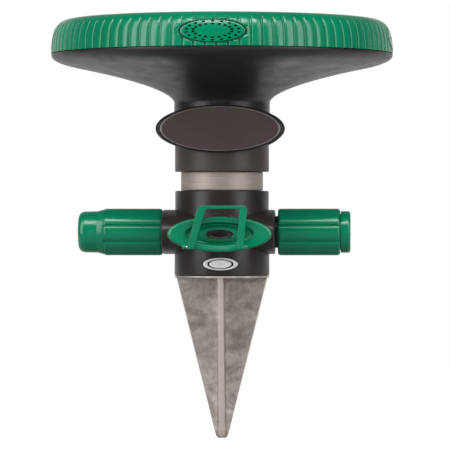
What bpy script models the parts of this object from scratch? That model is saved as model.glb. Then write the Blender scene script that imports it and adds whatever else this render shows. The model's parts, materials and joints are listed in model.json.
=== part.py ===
"""Dial lawn sprinkler on a ground spike, as an assembly of separate pieces.

Frame: metres, +Z up.  The origin is on the upright axis at ground level, which is the underside of the
spike's flange.  The front, with the valve knob, faces -Y.  The hose couplings lie along X.
"""

import math

import bmesh
import bpy
from mathutils import Matrix, Vector, geometry

# ---------------------------------------------------------------- driving dimensions (metres)
GAP = 0.0003                 # clearance between pieces that touch

# Upright stack, from the ground up
FLANGE_R, FLANGE_TOP = 0.0341, 0.0015
COLLAR_R = 0.0341            # lower collar of the tee
BLOCK_LOW, BLOCK_HIGH = 0.0168, 0.0488
UPPER_COLLAR_R, TEE_TOP = 0.0337, 0.0623
BAND_R, BAND_LOW, BAND_HIGH = 0.0295, 0.0626, 0.0758
SPIGOT_R = 0.0200            # riser tube's two plain ends
RISER_LOW, RISER_TOP, RISER_BORE_R = 0.0463, 0.0838, 0.0080
SLEEVE_R, SLEEVE_LOW = 0.0338, 0.0761
CLIP_LOW, CLIP_HIGH, CLIP_INNER, CLIP_OUTER = 0.0783, 0.0797, 0.0187, 0.0219
SEAL_Z, SEAL_MAJOR, SEAL_MINOR = 0.0818, 0.0192, 0.0009

# Spike
SPIKE_DEPTH = 0.1152
FIN_TOP_HALF, FIN_TIP_HALF = 0.0325, 0.0040
FIN_THICK = 0.0044
BOSS_R, BOSS_TOP = 0.0100, 0.0140

# Screw that clamps the spike in the tee's lower collar
CLAMP_Z, CLAMP_SHANK_R = 0.0100, 0.0024
CLAMP_SEAT, CLAMP_FACE = 0.0313, 0.0352
CLAMP_HALF_X, CLAMP_HALF_Z = 0.0124, 0.0046

# Tee and its through bore
TEE_LEFT, TEE_RIGHT, BLOCK_FRONT = -0.0422, 0.0382, -0.0400
HUB_Z = 0.0328               # axis of the hose couplings
FLOW_R = 0.0080
STUB_R, STUB_BORE_R, STUB_SEAT = 0.0115, 0.0075, 0.0120
STUB_END = 0.0660

# Valve, on an axis that runs front to back
VALVE_Z = 0.0314
VALVE_X = 0.0
BOSS_FRONT = -0.0440
PLUG_R, SPINDLE_R = 0.0108, 0.0050
KNOB_HALF_X, KNOB_HALF_Z = 0.0370, 0.0126
KNOB_BACK, KNOB_FRONT = -0.0447, -0.0545

# Bail on the knob's lower rim
BAIL_HINGE_Y, BAIL_HINGE_Z = -0.0575, VALVE_Z - 0.0092
BAIL_THICK = 0.0030

# Couplings
GRIP_R, GRIP_LOBES = 0.01675, 9
NUT_LEFT, NUT_RIGHT = 0.0403, 0.0850
RING_RIGHT, RING_R = 0.0925, 0.0150
CAP_RIGHT, CAP_GRIP_LEFT, CAP_LEFT = -0.0426, -0.0850, -0.1030
CAP_NOSE_R = 0.0143

# Tilting joint
TILT_Z = 0.1062
TILT_CLEAR = 0.0100          # the neck and the sleeve both stop this far from the tilt axis
BARREL_R, BARREL_HALF = 0.0170, 0.0200
CHEEK_R, CHEEK_INNER, CHEEK_OUTER = 0.0094, 0.0206, 0.0312
PIN_R = 0.0030
PLATE_HALF_X, PLATE_HALF_Z = 0.0459, 0.0170
REAR_PLATE_SCALE = 0.93      # the rear cover is a little smaller than the front one
PLATE_BACK, PLATE_FRONT = 0.0352, 0.0400

# Head and dial
NECK_R, NECK_TOP = 0.0344, 0.1256
BOWL_R, BOWL_RIM = 0.1228, 0.1606
SPOUT_R, SPOUT_TOP = 0.1165, 0.1702      # the bowl's upright lip inside the dial ring
DIAL_LOW, DIAL_TOP, DIAL_R = 0.1610, 0.1850, 0.1231
DECK_TOP, DECK_R = 0.1740, 0.1160
PORT_R = 0.0500              # radius of the circle that the nozzles stand on
PLATE_LOW, PLATE_TOP = 0.1746, 0.1800
NOZZLE_R, NOZZLE_TOP = 0.0180, 0.1826
POST_R, POST_TOP = 0.0060, 0.1803

# Facets round a full turn
FINE, MEDIUM, COARSE, SMALL = 44, 28, 18, 10

# Colours: linear RGB, roughness, metallic
GREEN = ((0.002, 0.150, 0.070), 0.35, 0.0)
BLACK = ((0.035, 0.030, 0.028), 0.50, 0.0)
ZINC = ((0.300, 0.270, 0.245), 0.55, 0.9)
BRIGHT = ((0.680, 0.650, 0.650), 0.25, 1.0)
RUBBER = ((0.010, 0.010, 0.010), 0.80, 0.0)
BRASS = ((0.550, 0.380, 0.140), 0.35, 1.0)


# ---------------------------------------------------------------- scene helpers
def clear_scene():
    for obj in list(bpy.data.objects):
        bpy.data.objects.remove(obj, do_unlink=True)


def new_collection(name):
    collection = bpy.data.collections.new(name)
    bpy.context.scene.collection.children.link(collection)
    return collection


def finish_object(obj, look):
    """Give the object its own Principled material and put it among the parts."""
    colour, roughness, metallic = look
    material = bpy.data.materials.new(obj.name)
    material.use_nodes = True
    shader = material.node_tree.nodes["Principled BSDF"]
    shader.inputs["Base Color"].default_value = (*colour, 1.0)
    shader.inputs["Roughness"].default_value = roughness
    shader.inputs["Metallic"].default_value = metallic
    obj.data.materials.append(material)
    PARTS.objects.link(obj)
    return obj


def as_cutter(obj):
    obj.hide_render = True
    obj.display_type = "WIRE"
    CUTTERS.objects.link(obj)
    return obj


def place(obj, location=(0, 0, 0), rotation=(0, 0, 0), parent=None):
    obj.location = location
    obj.rotation_euler = rotation
    if parent is not None:
        obj.parent = parent
    return obj


def joint_empty(name, location, rotation=(0, 0, 0), parent=None):
    """An empty on a joint's axis, whose location is given in the world."""
    empty = bpy.data.objects.new(name, None)
    AXES.objects.link(empty)
    empty.location = Vector(location) - (parent_origin(parent) if parent else Vector())
    empty.rotation_euler = rotation
    empty.parent = parent
    return empty


def parent_origin(empty):
    origin = empty.location.copy()
    while empty.parent is not None:
        empty = empty.parent
        origin += empty.location
    return origin


def attach(obj, empty):
    """Parent an object that was placed in the world to an unturned empty, leaving it where it is."""
    obj.parent = empty
    obj.location = obj.location - parent_origin(empty)
    return obj


# ---------------------------------------------------------------- shapes
X_AXIS = (0, math.pi / 2, 0)       # turns a local +Z axis to +X
BACK_AXIS = (-math.pi / 2, 0, 0)   # turns a local +Z axis to +Y
FRONT_AXIS = (math.pi / 2, 0, 0)   # turns a local +Z axis to -Y


def turned(name, profile, steps, closed=False):
    """A profile of (radius, height) points swept round local Z.

    An open profile starts and ends on the axis.  A closed one makes a ring.  Both run down the outer side.
    """
    mesh = bpy.data.meshes.new(name)
    points = [(r, 0, z) for r, z in profile]
    edges = [(i, i + 1) for i in range(len(points) - 1)]
    if closed:
        edges.append((len(points) - 1, 0))
    mesh.from_pydata(points, edges, [])
    obj = bpy.data.objects.new(name, mesh)
    screw = obj.modifiers.new("Turn", "SCREW")
    screw.steps = screw.render_steps = steps
    screw.use_merge_vertices = True
    screw.merge_threshold = 0.00001
    screw.use_smooth_shade = True
    return obj


def rod(name, radius, low, high, steps=COARSE, chamfer=0.0):
    """A solid round bar on local Z, with chamfered ends if asked."""
    profile = [(0, high), (radius - chamfer, high)]
    if chamfer:
        profile += [(radius, high - chamfer), (radius, low + chamfer)]
    else:
        profile += [(radius, low)]
    profile += [(radius - chamfer, low), (0, low)] if chamfer else [(0, low)]
    return turned(name, profile, steps)


def tube(name, outer, inner, low, high, steps=COARSE):
    return turned(name, [(outer, high), (outer, low), (inner, low), (inner, high)], steps, closed=True)


def torus_ring(name, major, minor, height, steps=COARSE, sides=8):
    turns = [-2 * math.pi * i / sides for i in range(sides)]
    profile = [(major + minor * math.cos(a), height + minor * math.sin(a)) for a in turns]
    return turned(name, profile, steps, closed=True)


def box(name, low, high, bevel=0.0):
    mesh = bpy.data.meshes.new(name)
    bm = bmesh.new()
    size = Vector(high) - Vector(low)
    middle = (Vector(high) + Vector(low)) / 2
    bmesh.ops.create_cube(bm, size=1.0, matrix=Matrix.Translation(middle) @ Matrix.Diagonal((*size, 1)))
    bm.to_mesh(mesh)
    bm.free()
    obj = bpy.data.objects.new(name, mesh)
    if bevel:
        modifier = obj.modifiers.new("Edges", "BEVEL")
        modifier.width, modifier.segments = bevel, 2
    return obj


def outline(name, points, thickness):
    """A flat outline in local XY, extruded equally to both sides, as a mesh."""
    curve = bpy.data.curves.new(name + "_outline", "CURVE")
    curve.dimensions, curve.fill_mode = "2D", "BOTH"
    curve.extrude = thickness / 2
    spline = curve.splines.new("POLY")
    spline.points.add(len(points) - 1)
    for point, (x, y) in zip(spline.points, points):
        point.co = (x, y, 0, 1)
    spline.use_cyclic_u = True
    return curve_to_mesh(name, curve)


def curve_to_mesh(name, curve):
    """The curve as a closed mesh object: its loose caps are welded to its sides."""
    guide = bpy.data.objects.new(name + "_guide", curve)
    bpy.context.scene.collection.objects.link(guide)
    bpy.context.view_layer.update()
    evaluated = guide.evaluated_get(bpy.context.evaluated_depsgraph_get())
    mesh = bpy.data.meshes.new_from_object(evaluated)
    obj = bpy.data.objects.new(name, mesh)
    obj.matrix_world = guide.matrix_world
    bpy.data.objects.remove(guide, do_unlink=True)
    bm = bmesh.new()
    bm.from_mesh(mesh)
    bmesh.ops.remove_doubles(bm, verts=bm.verts, dist=0.000005)
    bmesh.ops.recalc_face_normals(bm, faces=bm.faces)
    bm.to_mesh(mesh)
    bm.free()
    mesh.materials.clear()
    return obj


def round_wire(name, points, radius, closed=False):
    curve = bpy.data.curves.new(name + "_path", "CURVE")
    curve.dimensions = "3D"
    curve.bevel_depth, curve.bevel_resolution = radius, 2
    curve.use_fill_caps = True
    spline = curve.splines.new("POLY")
    spline.points.add(len(points) - 1)
    for point, place_at in zip(spline.points, points):
        point.co = (*place_at, 1)
    spline.use_cyclic_u = closed
    return curve_to_mesh(name, curve)


def boolean(obj, other, operation):
    modifier = obj.modifiers.new(other.name, "BOOLEAN")
    modifier.operation, modifier.object = operation, other
    modifier.solver = "EXACT"
    return obj


def cut(obj, *cutters):
    for cutter in cutters:
        boolean(obj, as_cutter(cutter), "DIFFERENCE")
    return obj


def join(obj, *others):
    for other in others:
        boolean(obj, as_cutter(other), "UNION")
    return obj


def along_x(obj, z=HUB_Z):
    return place(obj, (0, 0, z), X_AXIS)


def along_y(obj, x, z):
    """Local +Z becomes +Y, through the point (x, 0, z)."""
    return place(obj, (x, 0, z), BACK_AXIS)


def bezier_profile(knots, steps):
    """Points on cubic arcs, each given as (start, handle, handle, end) in (radius, height)."""
    points = []
    for start, first, second, end in knots:
        arc = geometry.interpolate_bezier(Vector(start), Vector(first), Vector(second), Vector(end), steps)
        points += [(p.x, p.y) for p in arc][(1 if points else 0):]
    return points


# ---------------------------------------------------------------- fixed pieces: spike, tee, riser
def make_spike():
    fin = [(-FIN_TOP_HALF, GAP), (-FIN_TIP_HALF, -SPIKE_DEPTH), (FIN_TIP_HALF, -SPIKE_DEPTH),
           (FIN_TOP_HALF, GAP)]
    spike = rod("spike", FLANGE_R, 0, FLANGE_TOP, MEDIUM)
    side_fins = place(outline("side_fins", fin, FIN_THICK), rotation=FRONT_AXIS)
    cross_fins = place(outline("cross_fins", fin, FIN_THICK), rotation=(math.pi / 2, 0, math.pi / 2))
    join(spike, side_fins, cross_fins, rod("spike_boss", BOSS_R, FLANGE_TOP / 2, BOSS_TOP))
    screw_hole = place(rod("spike_screw_hole", CLAMP_SHANK_R + 0.0002, 0.0070, BOSS_R + 0.002, SMALL),
                       (0, 0, CLAMP_Z), FRONT_AXIS)
    cut(spike, screw_hole)
    finish_object(spike, ZINC)


def make_clamp_screw():
    head = rod("clamp_screw", CLAMP_HALF_Z, CLAMP_SEAT + GAP, CLAMP_FACE, COARSE, chamfer=0.0006)
    place(head, (0, 0, CLAMP_Z), FRONT_AXIS).scale = (CLAMP_HALF_X / CLAMP_HALF_Z, 1, 1)
    shank = rod("clamp_shank", CLAMP_SHANK_R, 0.0075, CLAMP_SEAT + 0.001, SMALL)
    join(head, place(shank, (0, 0, CLAMP_Z), FRONT_AXIS))
    dimple = rod("clamp_dimple", 0.0016, CLAMP_FACE - 0.0012, CLAMP_FACE + 0.001, 6)
    cut(head, place(dimple, (0, 0, CLAMP_Z), FRONT_AXIS))
    finish_object(head, BRIGHT)


def make_tee():
    tee = rod("tee_body", COLLAR_R, FLANGE_TOP + GAP, BLOCK_LOW + 0.001, MEDIUM)
    block_r = (BLOCK_HIGH - BLOCK_LOW) / 2
    block = along_x(rod("tee_block", block_r, TEE_LEFT, TEE_RIGHT, MEDIUM, chamfer=0.0012))
    block.scale = (1, -BLOCK_FRONT / block_r, 1)
    upper = rod("tee_upper_collar", UPPER_COLLAR_R, BLOCK_LOW + 0.002, TEE_TOP, MEDIUM)
    boss = place(rod("tee_valve_boss", 0.0150, 0.0200, -BOSS_FRONT, COARSE), (VALVE_X, 0, VALVE_Z), FRONT_AXIS)
    join(tee, block, upper, boss)
    head_scale = CLAMP_HALF_X / CLAMP_HALF_Z
    seat = rod("clamp_seat", CLAMP_HALF_Z + 0.0004, CLAMP_SEAT, COLLAR_R + 0.004)
    place(seat, (0, 0, CLAMP_Z), FRONT_AXIS).scale = (head_scale, 1, 1)
    stub_r, left, right = STUB_R + GAP, TEE_LEFT - 0.001, TEE_RIGHT + 0.001
    flow_bore = turned("flow_bore", [
        (0, right), (stub_r, right), (stub_r, TEE_RIGHT - STUB_SEAT), (FLOW_R, TEE_RIGHT - STUB_SEAT),
        (FLOW_R, TEE_LEFT + STUB_SEAT), (stub_r, TEE_LEFT + STUB_SEAT), (stub_r, left), (0, left)], COARSE)
    riser_bore = turned("riser_bore", [
        (0, TEE_TOP + 0.001), (SPIGOT_R + GAP, TEE_TOP + 0.001), (SPIGOT_R + GAP, RISER_LOW - GAP),
        (FLOW_R, RISER_LOW - GAP), (FLOW_R, HUB_Z), (0, HUB_Z)], MEDIUM)
    front, plug_r = 0.001 - BOSS_FRONT, PLUG_R + 0.0004
    valve_bore = turned("valve_bore", [
        (0, front), (0.0130, front), (0.0130, 0.0355), (plug_r, 0.0355), (plug_r, -0.0138), (0, -0.0138)], COARSE)
    clamp_hole = rod("clamp_hole", CLAMP_SHANK_R + 0.0002, 0.0050, COLLAR_R, SMALL)
    cut(tee,
        rod("spike_socket", BOSS_R + GAP, 0, BOSS_TOP + GAP),
        seat,
        place(clamp_hole, (0, 0, CLAMP_Z), FRONT_AXIS),
        along_x(flow_bore),
        place(riser_bore, rotation=(0, 0, 0.05)),
        place(valve_bore, (VALVE_X, 0, VALVE_Z), FRONT_AXIS))
    finish_object(tee, BLACK)


def make_riser():
    seal_low, seal_high, seal_floor = SEAL_Z - 0.0012, SEAL_Z + 0.0012, 0.0182
    clip_low, clip_high, clip_floor = CLIP_LOW - GAP, CLIP_HIGH + GAP, 0.0185
    profile = [
        (SPIGOT_R, RISER_TOP), (SPIGOT_R, seal_high), (seal_floor, seal_high), (seal_floor, seal_low),
        (SPIGOT_R, seal_low), (SPIGOT_R, clip_high), (clip_floor, clip_high), (clip_floor, clip_low),
        (SPIGOT_R, clip_low), (SPIGOT_R, BAND_HIGH), (BAND_R, BAND_HIGH), (BAND_R, BAND_LOW),
        (SPIGOT_R, BAND_LOW), (SPIGOT_R, RISER_LOW), (RISER_BORE_R, RISER_LOW), (RISER_BORE_R, RISER_TOP),
    ]
    finish_object(turned("riser_tube", profile, MEDIUM, closed=True), ZINC)
    clip = tube("riser_clip", CLIP_OUTER, CLIP_INNER, CLIP_LOW, CLIP_HIGH, MEDIUM)
    cut(clip, box("clip_gap", (-0.003, CLIP_INNER - 0.002, CLIP_LOW - 0.001),
                  (0.003, CLIP_OUTER + 0.001, CLIP_HIGH + 0.001)))
    finish_object(clip, BRIGHT)
    finish_object(torus_ring("riser_seal", SEAL_MAJOR, SEAL_MINOR, SEAL_Z, MEDIUM), RUBBER)


def make_stubs():
    flange_left = NUT_LEFT + 0.0057
    inlet = [
        (STUB_R, STUB_END), (STUB_R, flange_left + 0.003), (0.0128, flange_left + 0.003), (0.0128, flange_left),
        (STUB_R, flange_left), (STUB_R, TEE_RIGHT - STUB_SEAT + GAP), (STUB_BORE_R, TEE_RIGHT - STUB_SEAT + GAP),
        (STUB_BORE_R, STUB_END),
    ]
    finish_object(along_x(turned("inlet_stub", inlet, COARSE, closed=True)), BLACK)
    outlet = tube("outlet_stub", STUB_R, STUB_BORE_R, -STUB_END, TEE_LEFT + STUB_SEAT - GAP)
    finish_object(along_x(outlet), BLACK)


# ---------------------------------------------------------------- valve, knob and bail
def make_valve(valve_axis, bail_axis):
    centre = (VALVE_X, 0, VALVE_Z)
    gland = [
        (0.0127, -BOSS_FRONT), (0.0127, 0.0359), (PLUG_R, 0.0359), (PLUG_R, 0.0190), (0.0053, 0.0190),
        (0.0053, 0.0270), (0.0066, 0.0270), (0.0066, 0.0300), (0.0053, 0.0300), (0.0053, -BOSS_FRONT),
    ]
    finish_object(place(turned("gland_nut", gland, COARSE, closed=True), centre, FRONT_AXIS), BLACK)
    seal = torus_ring("spindle_seal", 0.0058, 0.0006, 0.0285, SMALL, 6)
    finish_object(place(seal, centre, FRONT_AXIS), RUBBER)

    spindle_end, plug_front, plug_back = 0.0478, 0.0186, -0.0135
    plug = turned("valve_plug", [(0, spindle_end), (SPINDLE_R, spindle_end), (SPINDLE_R, plug_front),
                                 (PLUG_R, plug_front), (PLUG_R, plug_back), (0, plug_back)], COARSE)
    place(plug, centre, FRONT_AXIS)
    cut(plug,
        place(rod("plug_flow", 0.0060, -0.012, 0.012, SMALL), centre, X_AXIS),
        place(rod("plug_riser", 0.0060, 0, 0.012, SMALL), centre),
        place(rod("spindle_thread", 0.0018, 0.0435, 0.050, 8), centre, FRONT_AXIS))
    finish_object(attach(plug, valve_axis), BRASS)

    back, front = -KNOB_BACK, -KNOB_FRONT
    dish = turned("valve_knob", [
        (0, front - 0.0045), (0.0045, front - 0.0045), (0.0085, front - 0.0030), (0.0108, front),
        (0.0122, front - 0.0004), (KNOB_HALF_Z, front - 0.0018), (KNOB_HALF_Z, front - 0.0040),
        (0.0090, back), (0, back)], MEDIUM)
    place(dish, centre, FRONT_AXIS).scale = (KNOB_HALF_X / KNOB_HALF_Z, 1, 1)
    for side, low_x, high_x in (("left", -0.0262, -0.0232), ("right", 0.0174, 0.0204)):
        lug = box("lug_" + side, (VALVE_X + low_x, BAIL_HINGE_Y - 0.0017, BAIL_HINGE_Z - 0.0017),
                  (VALVE_X + high_x, KNOB_FRONT + 0.0035, BAIL_HINGE_Z + 0.0017))
        join(dish, lug)
    pin_hole = place(rod("knob_pin_hole", 0.0011, -0.03, 0.03, 8), (VALVE_X, BAIL_HINGE_Y, BAIL_HINGE_Z), X_AXIS)
    cut(dish, pin_hole,
        place(rod("spindle_hole", SPINDLE_R + GAP, back - 0.001, spindle_end + 0.0004), centre, FRONT_AXIS),
        place(rod("knob_screw_hole", 0.0018, back, front, 8), centre, FRONT_AXIS))
    finish_object(attach(dish, valve_axis), GREEN)

    floor = front - 0.0045
    screw = rod("knob_screw", 0.0034, floor + GAP, floor + 0.0022, COARSE, chamfer=0.0004)
    place(screw, centre, FRONT_AXIS).scale = (0.0096 / 0.0034, 1, 1)
    join(screw, place(rod("knob_screw_shank", 0.0015, 0.0440, floor + 0.001, 8), centre, FRONT_AXIS))
    finish_object(attach(screw, valve_axis), BLACK)

    for side, start, end in (("left", -0.0258, -0.0186), ("right", 0.0128, 0.0200)):
        pin = place(rod("bail_pin_" + side, 0.0009, start, end, 8), (VALVE_X, BAIL_HINGE_Y, BAIL_HINGE_Z), X_AXIS)
        finish_object(attach(pin, valve_axis), BRIGHT)

    loop = outline("bail", [
        (-0.0228, -0.0014), (-0.0156, 0.0262), (-0.0142, 0.0284), (-0.0118, 0.0292), (0.0165, 0.0292),
        (0.0191, 0.0286), (0.0201, 0.0266), (0.0170, -0.0014), (0.0120, -0.0014), (0.0147, 0.0269),
        (-0.0094, 0.0269), (-0.0178, -0.0014)], BAIL_THICK)
    place(loop, (VALVE_X, BAIL_HINGE_Y, BAIL_HINGE_Z), FRONT_AXIS)
    cut(loop, place(rod("bail_pin_hole", 0.0011, -0.03, 0.03, 8), (VALVE_X, BAIL_HINGE_Y, BAIL_HINGE_Z), X_AXIS))
    finish_object(attach(loop, bail_axis), GREEN)


# ---------------------------------------------------------------- hose couplings
def grip(name, low, high):
    """A hand grip on the hose axis: wide flat-topped lobes with narrow grooves between them."""
    points = []
    for lobe in range(GRIP_LOBES):
        middle = 2 * math.pi * (lobe + 0.5) / GRIP_LOBES
        half = math.pi / GRIP_LOBES
        shape = ((-0.97, GRIP_R - 0.0011), (-0.86, GRIP_R - 0.0002), (0, GRIP_R + 0.0002),
                 (0.86, GRIP_R - 0.0002), (0.97, GRIP_R - 0.0011))
        for part, radius in shape:
            angle = middle + part * half
            points.append((radius * math.cos(angle), radius * math.sin(angle)))
    return place(outline(name, points, high - low), ((low + high) / 2, 0, HUB_Z), X_AXIS)


def make_inlet(inlet_axis):
    nut = grip("inlet_nut", NUT_LEFT, NUT_RIGHT)
    cut(nut, along_x(rod("nut_lip_bore", STUB_R + GAP, NUT_LEFT - 0.001, NUT_RIGHT)),
        along_x(rod("nut_bore", 0.0132, NUT_LEFT + 0.0052, NUT_RIGHT + 0.001)))
    finish_object(attach(nut, inlet_axis), GREEN)
    washer_left = STUB_END + GAP
    washer = tube("inlet_washer", 0.0128, STUB_BORE_R, washer_left, washer_left + 0.0020)
    finish_object(attach(along_x(washer), inlet_axis), RUBBER)
    screen_left = washer_left + 0.0023
    screen = along_x(rod("filter_screen", 0.0128, screen_left, screen_left + 0.0008))
    for index in range(7):
        turn = 2 * math.pi * index / 6
        reach = 0.0 if index == 6 else 0.0064
        hole = rod(f"screen_hole_{index}", 0.0022, screen_left - 0.001, screen_left + 0.002, 8)
        cut(screen, place(hole, (0, reach * math.cos(turn), HUB_Z + reach * math.sin(turn)), X_AXIS))
    finish_object(attach(screen, inlet_axis), BRIGHT)
    ring = turned("inlet_ring", [(RING_R - 0.0008, RING_RIGHT), (RING_R, RING_RIGHT - 0.0008),
                                 (RING_R, NUT_RIGHT + GAP), (0.0129, NUT_RIGHT + GAP),
                                 (0.0129, screen_left + 0.0011), (0.0095, screen_left + 0.0011),
                                 (0.0095, RING_RIGHT)], COARSE, closed=True)
    finish_object(attach(along_x(ring), inlet_axis), GREEN)


def make_cap(cap_travel, cap_turn):
    washer = tube("cap_washer", STUB_R, STUB_BORE_R, -STUB_END - GAP - 0.0020, -STUB_END - GAP)
    finish_object(attach(along_x(washer), cap_travel), RUBBER)
    cap = grip("outlet_cap", CAP_GRIP_LEFT, CAP_RIGHT)
    nose = turned("cap_nose", [(0, CAP_GRIP_LEFT + 0.001), (GRIP_R - 0.0014, CAP_GRIP_LEFT + 0.001),
                               (GRIP_R - 0.0014, CAP_GRIP_LEFT - 0.0005), (CAP_NOSE_R + 0.0006, CAP_GRIP_LEFT - 0.0043),
                               (CAP_NOSE_R, CAP_LEFT + 0.0030), (CAP_NOSE_R - 0.0009, CAP_LEFT + 0.0009),
                               (CAP_NOSE_R - 0.0030, CAP_LEFT), (0, CAP_LEFT - 0.0004)], COARSE)
    join(cap, along_x(nose))
    cut(cap, along_x(rod("cap_thread", STUB_R + GAP, -STUB_END - 0.0026, CAP_RIGHT + 0.001)),
        along_x(rod("cap_hollow", 0.0090, CAP_LEFT + 0.0050, CAP_RIGHT)))
    finish_object(attach(cap, cap_turn), GREEN)


# ---------------------------------------------------------------- swivelling sleeve and the tilt pivot
def make_swivel(swivel_axis):
    sleeve_top = TILT_Z - TILT_CLEAR
    sleeve = rod("sleeve", SLEEVE_R, SLEEVE_LOW, sleeve_top, MEDIUM)
    for side, sign in (("front", -1), ("rear", 1)):
        near, far = sorted((sign * (CHEEK_INNER - 0.002), sign * CHEEK_OUTER))
        half_width = CHEEK_R - 0.0006
        stalk = box("stalk_" + side, (-half_width, near, sleeve_top - 0.004), (half_width, far, TILT_Z))
        ear = place(rod("ear_" + side, CHEEK_R, near, far, COARSE), (0, 0, TILT_Z), BACK_AXIS)
        join(sleeve, stalk, ear)
    seal_seat, bore_r = 0.0866, SPIGOT_R + GAP
    groove_r, groove_low, groove_high = CLIP_OUTER + GAP, CLIP_LOW - 0.0005, CLIP_HIGH + 0.0005
    bore = turned("sleeve_bore", [
        (0, seal_seat + 0.0066), (0.0100, seal_seat + 0.0066), (0.0100, seal_seat), (0.0070, seal_seat),
        (0.0070, RISER_TOP + GAP), (bore_r, RISER_TOP + GAP), (bore_r, groove_high), (groove_r, groove_high),
        (groove_r, groove_low), (bore_r, groove_low), (bore_r, SLEEVE_LOW - 0.001), (0, SLEEVE_LOW - 0.001)], MEDIUM)
    trough = rod("barrel_trough", BARREL_R + 0.0005, -CHEEK_INNER, CHEEK_INNER, MEDIUM)
    ear_hole = rod("ear_hole", PIN_R + 0.0002, -0.035, 0.035, SMALL)
    cut(sleeve, place(trough, (0, 0, TILT_Z), BACK_AXIS), bore, place(ear_hole, (0, 0, TILT_Z), BACK_AXIS))
    finish_object(attach(sleeve, swivel_axis), BLACK)
    finish_object(attach(tube("pivot_seal", 0.0097, 0.0072, seal_seat + GAP, TILT_Z - BARREL_R - GAP),
                         swivel_axis), RUBBER)
    for side, axis in (("front", FRONT_AXIS), ("rear", BACK_AXIS)):
        pin = place(rod("pivot_pin_" + side, PIN_R, 0.0125, 0.0345, SMALL), (0, 0, TILT_Z), axis)
        finish_object(attach(pin, swivel_axis), BRIGHT)
        plate = rod(side + "_plate", PLATE_HALF_Z, PLATE_BACK, PLATE_FRONT, MEDIUM, chamfer=0.0007)
        size = REAR_PLATE_SCALE if side == "rear" else 1.0
        place(plate, (0, 0, TILT_Z), axis).scale = (size * PLATE_HALF_X / PLATE_HALF_Z, size, 1)
        boss = rod(side + "_plate_boss", 0.0080, CHEEK_OUTER + GAP, PLATE_BACK + 0.001)
        join(plate, place(boss, (0, 0, TILT_Z), axis))
        hole = rod(side + "_plate_hole", PIN_R + 0.0002, CHEEK_OUTER, 0.0350, SMALL)
        cut(plate, place(hole, (0, 0, TILT_Z), axis))
        finish_object(attach(plate, swivel_axis), BLACK)


# ---------------------------------------------------------------- tilting head
def make_head(tilt_axis):
    floor, wall_r = 0.1280, BOWL_R - 0.0088
    outside = bezier_profile([
        ((BOWL_R, BOWL_RIM), (0.1218, 0.1545), (0.1120, 0.1523), (0.1000, 0.1500)),
        ((0.1000, 0.1500), (0.0640, 0.1425), (0.0352, 0.1335), (NECK_R, NECK_TOP))], 6)
    inside = bezier_profile([
        ((NECK_R - 0.0030, floor), (0.0330, 0.1380), (0.0630, 0.1452), (0.0980, 0.1530)),
        ((0.0980, 0.1530), (0.1080, 0.1552), (wall_r, 0.1580), (wall_r, 0.1620))], 4)
    profile = [(SPOUT_R, SPOUT_TOP), (SPOUT_R, BOWL_RIM), *outside, (NECK_R, TILT_Z + TILT_CLEAR),
               (0.0070, TILT_Z + TILT_CLEAR), (0.0070, floor), *inside, (wall_r, SPOUT_TOP)]
    bowl = turned("head_bowl", profile, FINE, closed=True)
    barrel = place(rod("neck_barrel", BARREL_R, -BARREL_HALF, BARREL_HALF, MEDIUM), (0, 0, TILT_Z), BACK_AXIS)
    join(bowl, barrel)
    cut(bowl, rod("neck_bore", 0.0069, TILT_Z - BARREL_R - 0.001, floor + 0.001))
    for side, axis in (("front", FRONT_AXIS), ("rear", BACK_AXIS)):
        hole = rod("barrel_hole_" + side, PIN_R + 0.00035, 0.0120, BARREL_HALF + 0.001, SMALL)
        cut(bowl, place(hole, (0, 0, TILT_Z), axis))
    finish_object(attach(bowl, tilt_axis), BLACK)

    boss_low, duct_z, duct_r = 0.1465, 0.1545, 0.0060
    deck = turned("head_deck", [
        (0, POST_TOP), (POST_R, POST_TOP), (POST_R, DECK_TOP), (DECK_R, DECK_TOP), (DECK_R, SPOUT_TOP + GAP),
        (wall_r - GAP, SPOUT_TOP + GAP), (wall_r - GAP, 0.1660), (wall_r - 0.0025, 0.1660),
        (wall_r - 0.0025, SPOUT_TOP + GAP), (0.0080, SPOUT_TOP + GAP), (0.0080, 0.1620), (0, 0.1620)], FINE)
    join(deck, place(rod("port_boss", 0.0125, boss_low, DECK_TOP - 0.001), (0, -PORT_R, 0)))
    port_top, port_floor = DECK_TOP + 0.001, boss_low + 0.0035
    port = turned("port_pocket", [(0, port_top), (0.0095, port_top), (0.0095, 0.1640), (duct_r, 0.1640),
                                  (duct_r, port_floor), (0, port_floor)], COARSE)
    cut(deck,
        place(rod("duct_seat", duct_r + 0.0002, PORT_R - 0.0134, PORT_R + 0.0007), (0, 0, duct_z), FRONT_AXIS),
        place(port, (0, -PORT_R, 0)),
        rod("post_thread", 0.0027, 0.1650, POST_TOP + 0.001, SMALL))
    finish_object(attach(deck, tilt_axis), BLACK)

    bend = 0.0105
    corner = [(0, -bend + bend * math.cos(a), duct_z - bend + bend * math.sin(a))
              for a in [math.pi / 2 * i / 5 for i in range(6)]]
    duct = round_wire("port_duct", [(0, 0, floor + GAP), *corner, (0, -PORT_R + 0.0100, duct_z)], duct_r)
    bore = round_wire("duct_bore", [(0, 0, floor - 0.001), *corner, (0, -PORT_R + 0.0080, duct_z)], 0.0042)
    cut(duct, bore)
    finish_object(attach(duct, tilt_axis), BLACK)

    seal = place(tube("port_seal", 0.0092, 0.0058, 0.1690, PLATE_LOW - GAP), (0, -PORT_R, 0))
    finish_object(attach(seal, tilt_axis), RUBBER)
    turns, per_turn, low, high = 3, 10, 0.1648, 0.1682
    coil = [(0.0078 * math.cos(2 * math.pi * i / per_turn), 0.0078 * math.sin(2 * math.pi * i / per_turn),
             low + (high - low) * i / (turns * per_turn)) for i in range(turns * per_turn + 1)]
    spring = place(round_wire("port_spring", coil, 0.0004), (0, -PORT_R, 0))
    finish_object(attach(spring, tilt_axis), BRIGHT)


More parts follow.
